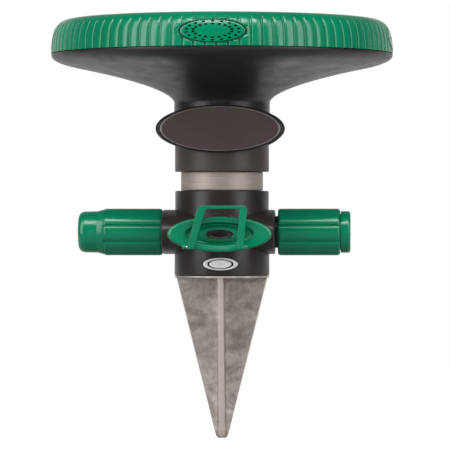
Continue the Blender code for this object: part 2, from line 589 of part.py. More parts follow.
# ---------------------------------------------------------------- dial with its spray nozzles
def make_dial(dial_axis):
    ring_inner, shoulder = SPOUT_R + 0.0016, 0.0055
    arc = [(DIAL_R - 0.0008 - shoulder + shoulder * math.cos(a), DIAL_TOP - shoulder + shoulder * math.sin(a))
           for a in [math.pi / 2 * (1 - i / 4) for i in range(5)]]
    profile = [(0.0960, DIAL_TOP), *arc, (DIAL_R, DIAL_LOW), (ring_inner, DIAL_LOW),
               (ring_inner, PLATE_TOP), (0.0960, PLATE_TOP)]
    finish_object(attach(turned("dial_ring", profile, FINE, closed=True), dial_axis), GREEN)

    plate = turned("dial_plate", [(0, PLATE_TOP - GAP), (ring_inner - 0.0004, PLATE_TOP - GAP),
                                  (ring_inner - 0.0004, PLATE_LOW), (0, PLATE_LOW)], FINE)
    cut(plate, rod("plate_post_hole", POST_R + GAP, PLATE_LOW - 0.001, PLATE_TOP + 0.001))
    nozzles = ("shower_rose", "flat_nozzle", "jet_nozzle", "mist_nozzle")
    for index, name in enumerate(nozzles):
        turn = -math.pi / 2 + index * math.pi / 2
        spot = Vector((PORT_R * math.cos(turn), PORT_R * math.sin(turn), 0))
        cut(plate, place(rod(name + "_hole", NOZZLE_R + GAP, PLATE_LOW - 0.001, PLATE_TOP + 0.001), spot))
        nozzle = place(rod(name, NOZZLE_R, PLATE_LOW + GAP, NOZZLE_TOP, COARSE, chamfer=0.0008), spot)
        for hole in nozzle_holes(name, spot):
            cut(nozzle, hole)
        finish_object(attach(nozzle, dial_axis), BRASS if name == "jet_nozzle" else BLACK)
    finish_object(attach(plate, dial_axis), GREEN)

    washer = tube("dial_washer", 0.0105, 0.0028, POST_TOP + GAP, POST_TOP + 0.0015)
    finish_object(attach(washer, dial_axis), BRIGHT)
    head_low, head_top = POST_TOP + 0.0018, POST_TOP + 0.0044
    screw = turned("dial_screw", [(0, head_top), (0.0044, head_top), (0.0055, head_top - 0.0008), (0.0055, head_low),
                                  (0.0024, head_low), (0.0024, 0.1660), (0, 0.1660)], SMALL)
    for half_x, half_y in ((0.0030, 0.0005), (0.0005, 0.0030)):
        slot = box(f"screw_slot_{int(half_x * 10000)}", (-half_x, -half_y, head_top - 0.0012),
                   (half_x, half_y, head_top + 0.001))
        cut(screw, slot)
    finish_object(attach(screw, dial_axis), BRIGHT)


def nozzle_holes(name, spot):
    """The openings through each nozzle."""
    low, high = PLATE_LOW - 0.001, NOZZLE_TOP + 0.001
    if name == "flat_nozzle":
        return [box("flat_slot", (spot.x - 0.0008, spot.y - 0.0120, low), (spot.x + 0.0008, spot.y + 0.0120, high))]
    if name == "jet_nozzle":
        return [place(rod("jet_hole", 0.0025, low, high, SMALL), spot)]
    count, reach, radius = (10, 0.0110, 0.0012) if name == "shower_rose" else (3, 0.0050, 0.0010)
    holes = []
    for index in range(count):
        turn = 2 * math.pi * (index + 0.3) / count
        offset = Vector((reach * math.cos(turn), reach * math.sin(turn), 0))
        holes.append(place(rod(f"{name}_jet_{index}", radius, low, high, 8), spot + offset, (0, 0, turn + 0.2)))
    return holes


# ---------------------------------------------------------------- the whole sprinkler
clear_scene()
PARTS = new_collection("lawn_sprinkler")
CUTTERS = new_collection("cutters")
AXES = new_collection("joint_axes")

make_spike()
make_clamp_screw()
make_tee()
make_riser()
make_stubs()

valve_centre = joint_empty("valve_axis", (VALVE_X, 0, VALVE_Z))
bail_hinge = joint_empty("bail_axis", (VALVE_X, BAIL_HINGE_Y, BAIL_HINGE_Z), parent=valve_centre)
make_valve(valve_centre, bail_hinge)
make_inlet(joint_empty("inlet_axis", (NUT_LEFT, 0, HUB_Z)))
cap_slide = joint_empty("cap_slide", (CAP_RIGHT, 0, HUB_Z))
make_cap(cap_slide, joint_empty("cap_axis", (CAP_RIGHT, 0, HUB_Z), parent=cap_slide))

head_swivel = joint_empty("swivel_axis", (0, 0, SLEEVE_LOW))
head_tilt = joint_empty("tilt_axis", (0, 0, TILT_Z), parent=head_swivel)
make_swivel(head_swivel)
make_head(head_tilt)
make_dial(joint_empty("dial_axis", (0, 0, DIAL_LOW), parent=head_tilt))
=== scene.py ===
"""The looks of the dial lawn sprinkler: detailed pieces, materials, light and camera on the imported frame."""

import json
import math

import bmesh
import bpy
import numpy as np
from mathutils import Matrix, Vector, geometry


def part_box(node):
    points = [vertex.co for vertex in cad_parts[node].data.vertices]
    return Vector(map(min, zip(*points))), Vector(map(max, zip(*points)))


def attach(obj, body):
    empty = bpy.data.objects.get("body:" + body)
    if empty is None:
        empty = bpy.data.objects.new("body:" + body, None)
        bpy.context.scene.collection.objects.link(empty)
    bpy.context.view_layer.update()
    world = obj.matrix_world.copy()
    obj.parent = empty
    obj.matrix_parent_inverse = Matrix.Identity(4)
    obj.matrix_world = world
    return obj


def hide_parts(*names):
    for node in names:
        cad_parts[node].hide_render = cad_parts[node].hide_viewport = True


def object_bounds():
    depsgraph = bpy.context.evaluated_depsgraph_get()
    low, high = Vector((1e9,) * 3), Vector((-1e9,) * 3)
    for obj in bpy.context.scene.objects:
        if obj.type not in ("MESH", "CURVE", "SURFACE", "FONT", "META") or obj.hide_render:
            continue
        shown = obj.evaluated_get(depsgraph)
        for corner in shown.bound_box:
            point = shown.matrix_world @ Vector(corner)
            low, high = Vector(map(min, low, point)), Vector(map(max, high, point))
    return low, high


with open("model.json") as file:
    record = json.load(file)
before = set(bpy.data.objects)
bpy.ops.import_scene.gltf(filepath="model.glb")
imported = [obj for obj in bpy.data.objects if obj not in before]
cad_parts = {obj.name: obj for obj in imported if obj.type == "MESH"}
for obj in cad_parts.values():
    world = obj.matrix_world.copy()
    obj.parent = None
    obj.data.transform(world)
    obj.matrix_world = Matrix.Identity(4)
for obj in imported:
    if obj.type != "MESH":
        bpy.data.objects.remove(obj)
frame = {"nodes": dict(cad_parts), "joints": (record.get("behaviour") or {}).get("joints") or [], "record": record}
CAD_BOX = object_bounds()

# ---------------------------------------------------------------- places taken from the frame (metres)
RING_LOW, RING_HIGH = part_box("dial_ring")
DIAL_R, DIAL_Z0, DIAL_Z1 = RING_HIGH.x, RING_LOW.z, RING_HIGH.z
BOWL_LOW, BOWL_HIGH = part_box("head_bowl")
SLEEVE_LOW, SLEEVE_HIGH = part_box("sleeve")
RISER_LOW, RISER_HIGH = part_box("riser_tube")
TEE_LOW, TEE_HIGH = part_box("tee_body")
KNOB_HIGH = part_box("valve_knob")[1]
PLATE_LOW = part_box("front_plate")[0]
CLAMP_LOW, CLAMP_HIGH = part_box("clamp_screw")
SPIKE_LOW, SPIKE_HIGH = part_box("spike")
NUT_LOW, NUT_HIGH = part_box("inlet_nut")
CAP_LOW, CAP_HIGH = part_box("outlet_cap")
END_LOW, END_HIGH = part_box("inlet_ring")
JOINTS = {joint["name"]: joint for joint in frame["joints"]}

HUB_Z = JOINTS["inlet_turn"]["pos_m"][2]
VALVE_Z = JOINTS["valve_turn"]["pos_m"][2]
TILT_Z = JOINTS["head_tilt"]["pos_m"][2]
GAP = 0.0003


# ---------------------------------------------------------------- mesh helpers
def fillet(points, steps=5):
    """A polyline with its corners rounded. A point is (r, z), or (r, z, radius) where it has a fillet."""
    out = []
    for index, point in enumerate(points):
        here = Vector(point[:2])
        if len(point) < 3 or index in (0, len(points) - 1):
            out.append(tuple(here))
            continue
        before, after = Vector(points[index - 1][:2]), Vector(points[index + 1][:2])
        one, two = (before - here).normalized(), (after - here).normalized()
        reach = min(point[2], (before - here).length * 0.49, (after - here).length * 0.49)
        start, end = here + one * reach, here + two * reach
        for step in range(steps + 1):
            t = step / steps
            out.append(tuple(start.lerp(here, t).lerp(here.lerp(end, t), t)))
    return out


def bezier(start, first, second, end, steps=24):
    points = geometry.interpolate_bezier(Vector(start), Vector(first), Vector(second), Vector(end), steps)
    return [(p.x, p.y) for p in points]


TURNS = {                       # where local x, y and z point
    "up": ((1, 0, 0), (0, 1, 0), (0, 0, 1)),
    "right": ((0, 1, 0), (0, 0, 1), (1, 0, 0)),
    "front": ((1, 0, 0), (0, 0, 1), (0, -1, 0)),
    "back": ((-1, 0, 0), (0, 0, 1), (0, 1, 0)),
}


def turn_matrix(facing, centre):
    columns = [Vector(c) for c in TURNS[facing]]
    rotation = Matrix((columns[0], columns[1], columns[2])).transposed().to_4x4()
    return Matrix.Translation(Vector(centre)) @ rotation


def add_mesh(name, vertices, faces, sharp=32, weld=0.0):
    mesh = bpy.data.meshes.new(name)
    mesh.from_pydata([tuple(v) for v in vertices], [], faces)
    bm = bmesh.new()
    bm.from_mesh(mesh)
    if weld:
        bmesh.ops.remove_doubles(bm, verts=bm.verts, dist=weld)
    bmesh.ops.recalc_face_normals(bm, faces=bm.faces)
    bm.to_mesh(mesh)
    bm.free()
    mesh.shade_smooth()
    mesh.set_sharp_from_angle(angle=math.radians(sharp))
    obj = bpy.data.objects.new(name, mesh)
    bpy.context.scene.collection.objects.link(obj)
    return obj


def grid_faces(rows, columns, wrap_rows):
    faces = []
    for row in range(rows if wrap_rows else rows - 1):
        below = (row + 1) % rows
        for column in range(columns):
            beside = (column + 1) % columns
            faces.append((row * columns + column, row * columns + beside,
                          below * columns + beside, below * columns + column))
    return faces


def box_section(across, along):
    """A rectangular section for the lathe, from its two spans."""
    return [(across[0], along[1]), (across[1], along[1]), (across[1], along[0]), (across[0], along[0])]


def lathe(name, profile, facing="up", centre=(0, 0, 0), segments=128, stretch=1.0, ring=False, sharp=32):
    """A profile of (radius, height) turned round an axis. A ring's profile closes on itself."""
    turn = np.linspace(0, 2 * math.pi, segments, endpoint=False)
    vertices, rows = [], []
    matrix = turn_matrix(facing, centre)
    for radius, height in profile:
        rows += [(stretch * max(radius, 0) * math.cos(a), max(radius, 0) * math.sin(a), height) for a in turn]
    vertices = [matrix @ Vector(p) for p in rows]
    faces = grid_faces(len(profile), segments, ring)
    return add_mesh(name, vertices, faces, sharp, weld=0.0000005)


def loft(name, sections, sharp=32, caps=True):
    """Rings of points with the same count, joined in order, with flat ends."""
    count = len(sections[0])
    vertices = [point for section in sections for point in section]
    faces = grid_faces(len(sections), count, False)
    if caps:
        faces.append(tuple(range(count)))
        faces.append(tuple(range(len(vertices) - count, len(vertices))))
    return add_mesh(name, vertices, faces, sharp)


def plate(name, points, thickness, facing, centre, bevel=0.0, steps=3):
    """A flat outline with thickness about its own plane, and rounded edges."""
    matrix = turn_matrix(facing, centre)
    count = len(points)
    near = [matrix @ Vector((x, y, thickness / 2)) for x, y in points]
    far = [matrix @ Vector((x, y, -thickness / 2)) for x, y in points]
    faces = [tuple(range(count)), tuple(range(2 * count - 1, count - 1, -1))]
    faces += [(i, (i + 1) % count, count + (i + 1) % count, count + i) for i in range(count)]
    obj = add_mesh(name, near + far, faces, 50)
    if bevel:
        edges = obj.modifiers.new("Edges", "BEVEL")
        edges.width, edges.segments, edges.limit_method = bevel, steps, "ANGLE"
        edges.angle_limit = math.radians(50)
        edges.harden_normals = False
        settle(obj)
        obj.data.shade_smooth()
        obj.data.set_sharp_from_angle(angle=math.radians(35))
    return obj


def settle(obj):
    """Replaces the object's mesh by what its modifiers make of it."""
    bpy.context.view_layer.update()
    evaluated = obj.evaluated_get(bpy.context.evaluated_depsgraph_get())
    mesh = bpy.data.meshes.new_from_object(evaluated)
    obj.modifiers.clear()
    obj.data = mesh
    return obj


def cut(obj, *cutters, sharp=32):
    """Takes the cutters out of the object and removes them."""
    for cutter in cutters:
        modifier = obj.modifiers.new("Cut", "BOOLEAN")
        modifier.object, modifier.operation, modifier.solver = cutter, "DIFFERENCE", "EXACT"
    settle(obj)
    for cutter in cutters:
        bpy.data.objects.remove(cutter, do_unlink=True)
    obj.data.shade_smooth()
    obj.data.set_sharp_from_angle(angle=math.radians(sharp))
    return obj


def joined(objects):
    """Several meshes made one, in the first of them."""
    bpy.ops.object.select_all(action="DESELECT")
    for obj in objects:
        obj.select_set(True)
    bpy.context.view_layer.objects.active = objects[0]
    bpy.ops.object.join()
    return objects[0]


def wear(obj, material, body, replaces=()):
    """Gives a new piece its material and its body, and hides the frame's nodes that it stands for."""
    obj.data.materials.clear()
    obj.data.materials.append(material)
    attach(obj, body)
    if replaces:
        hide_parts(*replaces)
    return obj


# ---------------------------------------------------------------- materials
FIN_ROOT, FIN_TIP = 0.0327, 0.0040     # half widths of the fins, at the flange and at the tip


def srgb(red, green, blue):
    """Linear colour for a screen colour of 0 to 255."""
    return tuple(((c / 255 + 0.055) / 1.055) ** 2.4 if c > 10 else c / 255 / 12.92
                 for c in (red, green, blue))


class Finish:
    """A Principled material whose nodes are added one call at a time, in the object's own coordinates."""

    def __init__(self, name, **sockets):
        self.material = bpy.data.materials.new(name)
        self.material.use_nodes = True
        self.nodes = self.material.node_tree.nodes
        self.links = self.material.node_tree.links
        self.shader = self.nodes["Principled BSDF"]
        self.place = self.nodes.new("ShaderNodeTexCoord").outputs["Object"]
        self.normal = None
        for socket, value in sockets.items():
            self.shader.inputs[socket.replace("_", " ")].default_value = value

    def noise(self, scale, detail=3.0, stretch=(1, 1, 1), rough=0.5, distortion=0.0):
        mapping = self.nodes.new("ShaderNodeMapping")
        mapping.inputs["Scale"].default_value = stretch
        self.links.new(self.place, mapping.inputs["Vector"])
        texture = self.nodes.new("ShaderNodeTexNoise")
        texture.inputs["Scale"].default_value = scale
        texture.inputs["Detail"].default_value = detail
        texture.inputs["Roughness"].default_value = rough
        texture.inputs["Distortion"].default_value = distortion
        self.links.new(mapping.outputs["Vector"], texture.inputs["Vector"])
        return texture.outputs["Fac"]

    def spread(self, value, low, high, start=0.3, end=0.7):
        """The value from start to end, moved to the range low to high."""
        node = self.nodes.new("ShaderNodeMapRange")
        for socket, number in (("From Min", start), ("From Max", end), ("To Min", low), ("To Max", high)):
            node.inputs[socket].default_value = number
        self.links.new(value, node.inputs["Value"])
        return node.outputs["Result"]

    def mix(self, factor, one, two):
        node = self.nodes.new("ShaderNodeMix")
        node.data_type = "RGBA"
        for socket, colour in ((node.inputs[6], one), (node.inputs[7], two)):
            if isinstance(colour, tuple):
                socket.default_value = (*colour, 1)
            else:
                self.links.new(colour, socket)
        self.links.new(factor, node.inputs[0])
        return node.outputs[2]

    def calculate(self, operation, *values):
        """One step of arithmetic on numbers and sockets."""
        node = self.nodes.new("ShaderNodeMath")
        node.operation = operation
        for socket, value in zip(node.inputs, values):
            if isinstance(value, (int, float)):
                socket.default_value = value
            else:
                self.links.new(value, socket)
        return node.outputs[0]

    def axes(self):
        """The x, y and z of the place on the object."""
        node = self.nodes.new("ShaderNodeSeparateXYZ")
        self.links.new(self.place, node.inputs["Vector"])
        return node.outputs

    def colour(self, value):
        self.links.new(value, self.shader.inputs["Base Color"])

    def roughness(self, value):
        self.links.new(value, self.shader.inputs["Roughness"])

    def bump(self, height, distance, strength=1.0):
        node = self.nodes.new("ShaderNodeBump")
        node.inputs["Distance"].default_value = distance
        node.inputs["Strength"].default_value = strength
        self.links.new(height, node.inputs["Height"])
        if self.normal is not None:
            self.links.new(self.normal, node.inputs["Normal"])
        self.normal = node.outputs["Normal"]
        self.links.new(self.normal, self.shader.inputs["Normal"])


def moulded(name, dark, light, rough, grain=0.00002, patch=25, specular=0.5):
    """Injection-moulded plastic: faint flow clouding, uneven gloss and a fine spark-eroded grain."""
    finish = Finish(name, Specular_IOR_Level=specular)
    clouds = finish.spread(finish.noise(patch, 4), 0, 1)
    specks = finish.spread(finish.noise(1400, 2), 0, 0.35, 0.55, 0.75)
    finish.colour(finish.mix(specks, finish.mix(clouds, dark, light), light))
    finish.roughness(finish.spread(finish.noise(90, 4), rough - 0.05, rough + 0.06))
    finish.bump(finish.noise(2600, 2), grain)
    finish.bump(finish.noise(60, 2), grain * 4, 0.5)
    return finish.material


def brushed(name, dark, light, rough, stretch, lines=700, metallic=1.0):
    """Metal with fine lines along one way, as left by turning or brushing."""
    finish = Finish(name, Metallic=metallic)
    streaks = finish.noise(lines, 5, stretch, 0.7)
    stains = finish.noise(45, 5)
    base = finish.mix(finish.spread(streaks, 0, 1), dark, light)
    finish.colour(finish.mix(finish.spread(stains, 0, 0.35), base, dark))
    finish.roughness(finish.spread(streaks, rough - 0.07, rough + 0.1))
    finish.bump(streaks, 0.00003)
    return finish.material


def cast_zinc(name):
    """Die-cast zinc alloy: grey with darker flow marks, a matt skin, pits, and a painted highlight along the fins'
    outer edges.
    """
    finish = Finish(name, Metallic=0.55)
    flow = finish.noise(38, 6, (0.7, 0.7, 1.3), 0.62, 1.6)
    skin = finish.noise(420, 4, (1, 1, 0.6), 0.6)
    pits = finish.noise(1500, 2)
    base = finish.mix(finish.spread(flow, 0, 1, 0.35, 0.66), srgb(150, 141, 135), srgb(214, 204, 197))
    grey = finish.mix(finish.spread(skin, 0, 0.45, 0.42, 0.7), base, srgb(128, 120, 116))
    pitted = finish.mix(finish.spread(pits, 0, 0.5, 0.62, 0.72), grey, srgb(96, 90, 88))
    # The outer edges of the fins carry a painted highlight, a lighter colour along them. They lie on a square
    # pyramid round the spike's axis.
    x, y, z = finish.axes()
    reach = finish.calculate("MAXIMUM", finish.calculate("ABSOLUTE", x), finish.calculate("ABSOLUTE", y))
    pyramid = finish.calculate("MULTIPLY_ADD", z, (FIN_TIP - FIN_ROOT) / SPIKE_LOW.z, FIN_ROOT)
    painted_edge_highlight = finish.spread(finish.calculate("SUBTRACT", reach, pyramid), 0, 0.75, -0.0009, -0.0003)
    finish.colour(finish.mix(painted_edge_highlight, pitted, srgb(226, 212, 203)))
    finish.roughness(finish.spread(skin, 0.42, 0.6))
    finish.bump(skin, 0.00012)
    finish.bump(flow, 0.0006, 0.6)
    return finish.material


def rubber(name):
    finish = Finish(name)
    finish.colour(finish.mix(finish.noise(80, 4), srgb(20, 20, 20), srgb(44, 43, 42)))
    finish.roughness(finish.spread(finish.noise(300, 3), 0.7, 0.9))
    finish.bump(finish.noise(900, 3), 0.00006)
    return finish.material


GREEN = moulded("green_moulding", srgb(0, 109, 76), srgb(0, 120, 85), 0.19, grain=0.000008)
DEEP_GREEN = moulded("green_fitting_moulding", srgb(0, 108, 75), srgb(0, 119, 84), 0.20, grain=0.000008)
BOWL = moulded("black_bowl_moulding", srgb(32, 29, 29), srgb(38, 34, 34), 0.36, grain=0.0, patch=16)
BLACK = moulded("black_moulding", srgb(38, 33, 30), srgb(46, 40, 37), 0.34, specular=0.4)
SATIN = moulded("satin_black_moulding", srgb(62, 55, 51), srgb(72, 64, 60), 0.42, specular=0.4)
MATT = moulded("matt_cover_moulding", srgb(64, 54, 52), srgb(73, 62, 60), 0.60, grain=0.00005, specular=0.4)
# A near-black that paints the shade in the pictogram holes and in the clamp screw's groove.
PAINTED_SHADE = moulded("painted_recess_shade", srgb(9, 14, 12), srgb(12, 17, 15), 0.85, grain=0.0, specular=0.1)
# A light grey that paints the highlight line along the covers' edge bead.
HIGHLIGHT_LINE = moulded("painted_highlight_line", srgb(118, 112, 109), srgb(134, 128, 124), 0.30, grain=0.0)
JET = moulded("black_gloss_moulding", srgb(18, 17, 17), srgb(28, 26, 26), 0.25)
ZINC = cast_zinc("cast_zinc")
BAND = brushed("turned_metal", srgb(168, 156, 149), srgb(206, 194, 187), 0.58, (1, 1, 26), 60, 0.70)
BADGE = brushed("satin_nickel", srgb(222, 216, 216), srgb(244, 239, 240), 0.36, (1, 8, 1), 260, 0.0)
STEEL = brushed("bright_steel", srgb(226, 220, 220), srgb(244, 240, 240), 0.46, (1, 8, 1), 260)
BRASS = brushed("turned_brass", srgb(176, 138, 66), srgb(214, 180, 104), 0.3, (1, 1, 10), 120)
RUBBER = rubber("seal_rubber")

BY_SLOT = {
    "zinc": ZINC, "zinc_tube": BAND, "steel": STEEL, "brass": BRASS, "black_plastic": BLACK,
    "black_gloss": BOWL, "black_matte": MATT, "green_plastic": GREEN, "rubber": RUBBER,
}


# ---------------------------------------------------------------- dial ring with its flutes and pictograms
FLUTES = 96
SHOULDER_R = 0.1100                    # where the rounded shoulder meets the flat top
WELL_R = 0.0960                        # the opening in the top
FLUTE_TOP = DIAL_Z1 - 0.0037
ICON_Z = 0.1713
ICON_TURN = math.radians(-1.1)         # the pictograms sit a little beside the nozzles
ICON_HALF_X, ICON_HALF_Z = 0.0246, 0.0083
FLUTE_SHAPE = (                        # (part of the pitch, height above the wall)
    (0.0, -0.00125), (0.09, -0.00125), (0.125, -0.0005), (0.165, -0.00022), (0.22, -0.00006), (0.30, 0.00004),
    (0.545, 0.00008), (0.79, 0.00004), (0.87, -0.00006), (0.925, -0.00022), (0.965, -0.0005))
WALL = bezier((DIAL_R - 0.0002, DIAL_Z0), (DIAL_R - 0.0002, DIAL_Z0 + 0.0110),
              (DIAL_R - 0.0019, DIAL_Z1 - 0.0003), (SHOULDER_R, DIAL_Z1), 36)


def wall_radius(z):
    heights = [p[1] for p in WALL]
    return float(np.interp(z, heights, [p[0] for p in WALL]))


def icon_edge(angle, height):
    """1 on a pictogram's outline, less inside it, for a place on the wall."""
    quarter = math.pi / 2
    across = wall_radius(ICON_Z) * ((angle - ICON_TURN + quarter / 2) % quarter - quarter / 2)
    return math.hypot(across / ICON_HALF_X, (height - ICON_Z) / ICON_HALF_Z)


def make_dial_ring():
    pitch = 2 * math.pi / FLUTES
    columns = [(k * pitch + part * pitch, lift) for k in range(FLUTES) for part, lift in FLUTE_SHAPE]
    inner_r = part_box("dial_plate")[1].x + 0.0004
    plate_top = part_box("dial_plate")[1].z + GAP
    inside = fillet([(SHOULDER_R, DIAL_Z1), (WELL_R, DIAL_Z1, 0.0009), (WELL_R, plate_top),
                     (inner_r, plate_top), (inner_r, DIAL_Z0), (WALL[0][0], DIAL_Z0)], 4)[1:-1]
    rows = WALL + inside
    vertices = []
    for index, (radius, height) in enumerate(rows):
        outside = index < len(WALL)
        fade = min(1.0, max(0.0, (FLUTE_TOP - height) / 0.0006)) if outside else 0.0
        for angle, lift in columns:
            depth = lift * fade
            if outside and icon_edge(angle, height) < 1.0:
                depth = -0.0013
            r = radius + depth
            vertices.append((r * math.cos(angle), r * math.sin(angle), height))
    obj = add_mesh("dial_ring_detailed", vertices, grid_faces(len(rows), len(columns), True), 40)
    return wear(obj, GREEN, "dial", ["dial_ring"])


def on_wall(turn, across, up, lift):
    """A place on the ring's wall, beside and above a pictogram's centre."""
    height = ICON_Z + up
    radius = wall_radius(height) + lift
    angle = turn + across / wall_radius(ICON_Z)
    return Vector((radius * math.cos(angle), radius * math.sin(angle), height))


def wall_disc(name, turn, half_x, half_z, profile, segments=96, centre=(0, 0)):
    """A closed oval pad on the wall. Its profile is (part of the half width, lift), from the middle out."""
    vertices = []
    for part, lift in profile:
        for k in range(segments):
            phi = 2 * math.pi * k / segments
            vertices.append(on_wall(turn, centre[0] + half_x * part * math.cos(phi),
                                    centre[1] + half_z * part * math.sin(phi), lift))
    return add_mesh(name, vertices, grid_faces(len(profile), segments, False), 32, weld=0.000002)


def icon_holes(kind):
    """(across, up, half width, half height) of the small holes of one pictogram."""
    if kind == "shower":
        return [(reach_x * math.cos(a), reach_z * math.sin(a), 0.00128, 0.00062)
                for reach_x, reach_z in ((0.0184, 0.0066), (0.0135, 0.0047))
                for a in [2 * math.pi * (k + 0.5) / 18 for k in range(18)]]
    if kind == "flat":
        return [(0.0030 * k, 0.0, 0.00105, 0.0009) for k in range(-5, 6)]
    if kind == "jet":
        return [(0, 0, 0.0030, 0.0013)]
    return [(reach * math.cos(a), reach * 0.36 * math.sin(a), 0.0009, 0.0005)
            for reach, count in ((0.0040, 6), (0.0090, 10), (0.0140, 14))
            for a in [2 * math.pi * (k + 0.25) / count for k in range(count)]]


def make_icons():
    panel = [(0, 0.00012), (0.3, 0.00012), (0.6, 0.00012), (0.85, 0.00012), (0.905, 0.00012), (0.915, 0.00004),
             (0.92, -0.0009), (0.962, -0.0009), (0.968, 0.00008), (0.975, 0.00020), (0.99, 0.00022),
             (1.0, 0.00010), (1.0, -0.0012), (0.6, -0.0014), (0, -0.0014)]
    painted_shade_sheet = [(0, -0.00040), (0.966, -0.00040), (0.966, -0.00085), (0, -0.00085)]
    for index, kind in enumerate(("shower", "flat", "jet", "mist")):
        turn = ICON_TURN - math.pi / 2 + index * math.pi / 2
        pad = wall_disc(f"icon_{kind}", turn, ICON_HALF_X, ICON_HALF_Z, panel)
        cutters = []
        for number, (across, up, half_x, half_z) in enumerate(icon_holes(kind)):
            hole = [(0, 0.0006), (1, 0.0006), (1, -0.00112), (0, -0.00112)]
            cutters.append(wall_disc(f"hole_{number}", turn, half_x, half_z, hole, 14, (across, up)))
        cut(pad, joined(cutters))
        wear(pad, GREEN, "dial")
        # A near-black sheet behind the holes: painted shade that makes the holes look dark.
        dark = wall_disc(f"icon_{kind}_backing", turn, ICON_HALF_X, ICON_HALF_Z, painted_shade_sheet, 48)
        wear(dark, PAINTED_SHADE, "dial")


# ---------------------------------------------------------------- bowl, neck and pivot
NECK_R, NECK_TOP = 0.0344, 0.1256
NECK_FOOT = TILT_Z + 0.0100
BOWL_R, BOWL_RIM = BOWL_HIGH.x, DIAL_Z0 - 0.0004
BARREL_R, BARREL_HALF = TILT_Z - BOWL_LOW.z, 0.0200


def make_bowl():
    rim = [(BOWL_R - 0.0003, BOWL_RIM), (BOWL_R, BOWL_RIM - 0.0003), (BOWL_R - 0.0001, BOWL_RIM - 0.0018)]
    upper = bezier((BOWL_R - 0.0004, BOWL_RIM - 0.0024), (0.1205, 0.1548), (0.1120, 0.1523), (0.1000, 0.1500))
    lower = bezier((0.1000, 0.1500), (0.0640, 0.1425), (0.0352, 0.1335), (NECK_R, NECK_TOP), 40)[1:]
    foot = fillet([(NECK_R, NECK_TOP - 0.001), (NECK_R, NECK_FOOT, 0.0008), (0.0072, NECK_FOOT)], 4)
    spout_r, spout_top, wall_r, floor = 0.1165, BOWL_HIGH.z, 0.1140, 0.1280
    inside = bezier((0.0314, floor), (0.0330, 0.1380), (0.0630, 0.1452), (0.0980, 0.1530), 16)
    inside += [(0.1080, 0.1560), (wall_r, 0.1620), (wall_r, spout_top), (spout_r, spout_top),
               (spout_r, BOWL_RIM)]
    profile = rim + upper + lower + foot + [(0.0072, floor)] + inside
    bowl = lathe("bowl_shell", profile, segments=192, ring=True, sharp=40)
    wear(bowl, BOWL, "head", ["head_bowl"])
    barrel = lathe("pivot_barrel", fillet([(0, BARREL_HALF), (BARREL_R, BARREL_HALF, 0.0008),
                                           (BARREL_R, -BARREL_HALF, 0.0008), (0, -BARREL_HALF)], 4),
                   "back", (0, 0, TILT_Z), 96)
    wear(barrel, BLACK, "head")


# ---------------------------------------------------------------- sleeve and its oval covers
CHEEK_FACE, CHEEK_INNER = 0.0315, 0.0206


def make_covers():
    """Each oval cover: a matt face, a painted highlight line on its edge bead, a glossy dark rim, and a boss that
    holds the pin.
    """
    front, back = -PLATE_LOW.y, 0.0352
    for facing, name in (("front", "front_plate"), ("back", "rear_plate")):
        low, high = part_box(name)
        half_z, stretch = (high.z - low.z) / 2, (high.x - low.x) / (high.z - low.z)
        edge = half_z - 0.0012
        line = edge - 0.0005
        face = [(0, front - 0.00012), (half_z * 0.5, front - 0.00012), (line, front - 0.00012),
                (line, front - 0.0012), (0, front - 0.0012)]
        bead = [(line + 0.00004, front - 0.0011), (line + 0.00004, front - 0.0001), (line + 0.00015, front),
                (edge - 0.0001, front - 0.0001), (edge, front - 0.0003), (edge, front - 0.0011)]
        rim = [(edge + 0.00004, front - 0.0011), (edge + 0.00004, front - 0.0003),
               (edge + 0.00012, front - 0.0001), (edge + 0.0003, front), (edge + 0.0005, front - 0.0001),
               (edge + 0.0006, front - 0.0003), (edge + 0.0007, front - 0.0006), (half_z - 0.0002, front - 0.0013),
               (half_z, front - 0.0020), (half_z, back + 0.0006), (half_z - 0.0004, back), (0.0080, back),
               (0.0080, front - 0.0014), (edge + 0.00004, front - 0.0014)]
        place = (0, 0, TILT_Z)
        middle = lathe(f"{name}_face", face, facing, place, 160, stretch, sharp=24)
        wear(middle, MATT, "swivel", [name])
        # The edge bead is given the light grey: a painted highlight line.
        for part, profile, material in (("rim", rim, BOWL), ("edge", bead, HIGHLIGHT_LINE)):
            oval = lathe(f"{name}_{part}", profile, facing, place, 160, stretch, ring=True, sharp=50)
            wear(oval, material, "swivel")
        boss = fillet([(0, back + 0.0020), (0.0080, back + 0.0020), (0.0080, CHEEK_FACE, 0.0003),
                       (0, CHEEK_FACE)], 3)
        wear(lathe(f"{name}_boss", boss, facing, place, 64), BLACK, "swivel")


def make_sleeve():
    top, low, r = TILT_Z - 0.0100, SLEEVE_LOW.z, SLEEVE_HIGH.x
    body = lathe("sleeve_body", fillet([(0, top), (r, top, 0.0008), (r, low, 0.0007), (0.0203, low),
                                        (0.0203, 0.0841), (0, 0.0841)], 5), segments=160)
    trough_r = 0.0175
    trough = box_section((0, trough_r), (-CHEEK_INNER, CHEEK_INNER))
    slot = lathe("trough_ends", trough, "back", (0, 0, TILT_Z), 96)
    cut(body, slot)
    wear(body, SATIN, "swivel", ["sleeve"])
    ear_r, thick = 0.0094, CHEEK_FACE - 0.0003 - CHEEK_INNER
    outline = [(ear_r * math.cos(a), ear_r * math.sin(a)) for a in np.linspace(0, math.pi, 25)]
    outline += [(-ear_r, -0.0140), (ear_r, -0.0140)]
    for side, sign in (("front", -1), ("rear", 1)):
        middle = sign * (CHEEK_INNER + thick / 2)
        ear = plate(f"sleeve_ear_{side}", outline, thick, "front", (0, middle, TILT_Z), 0.0005)
        wear(ear, SATIN, "swivel")


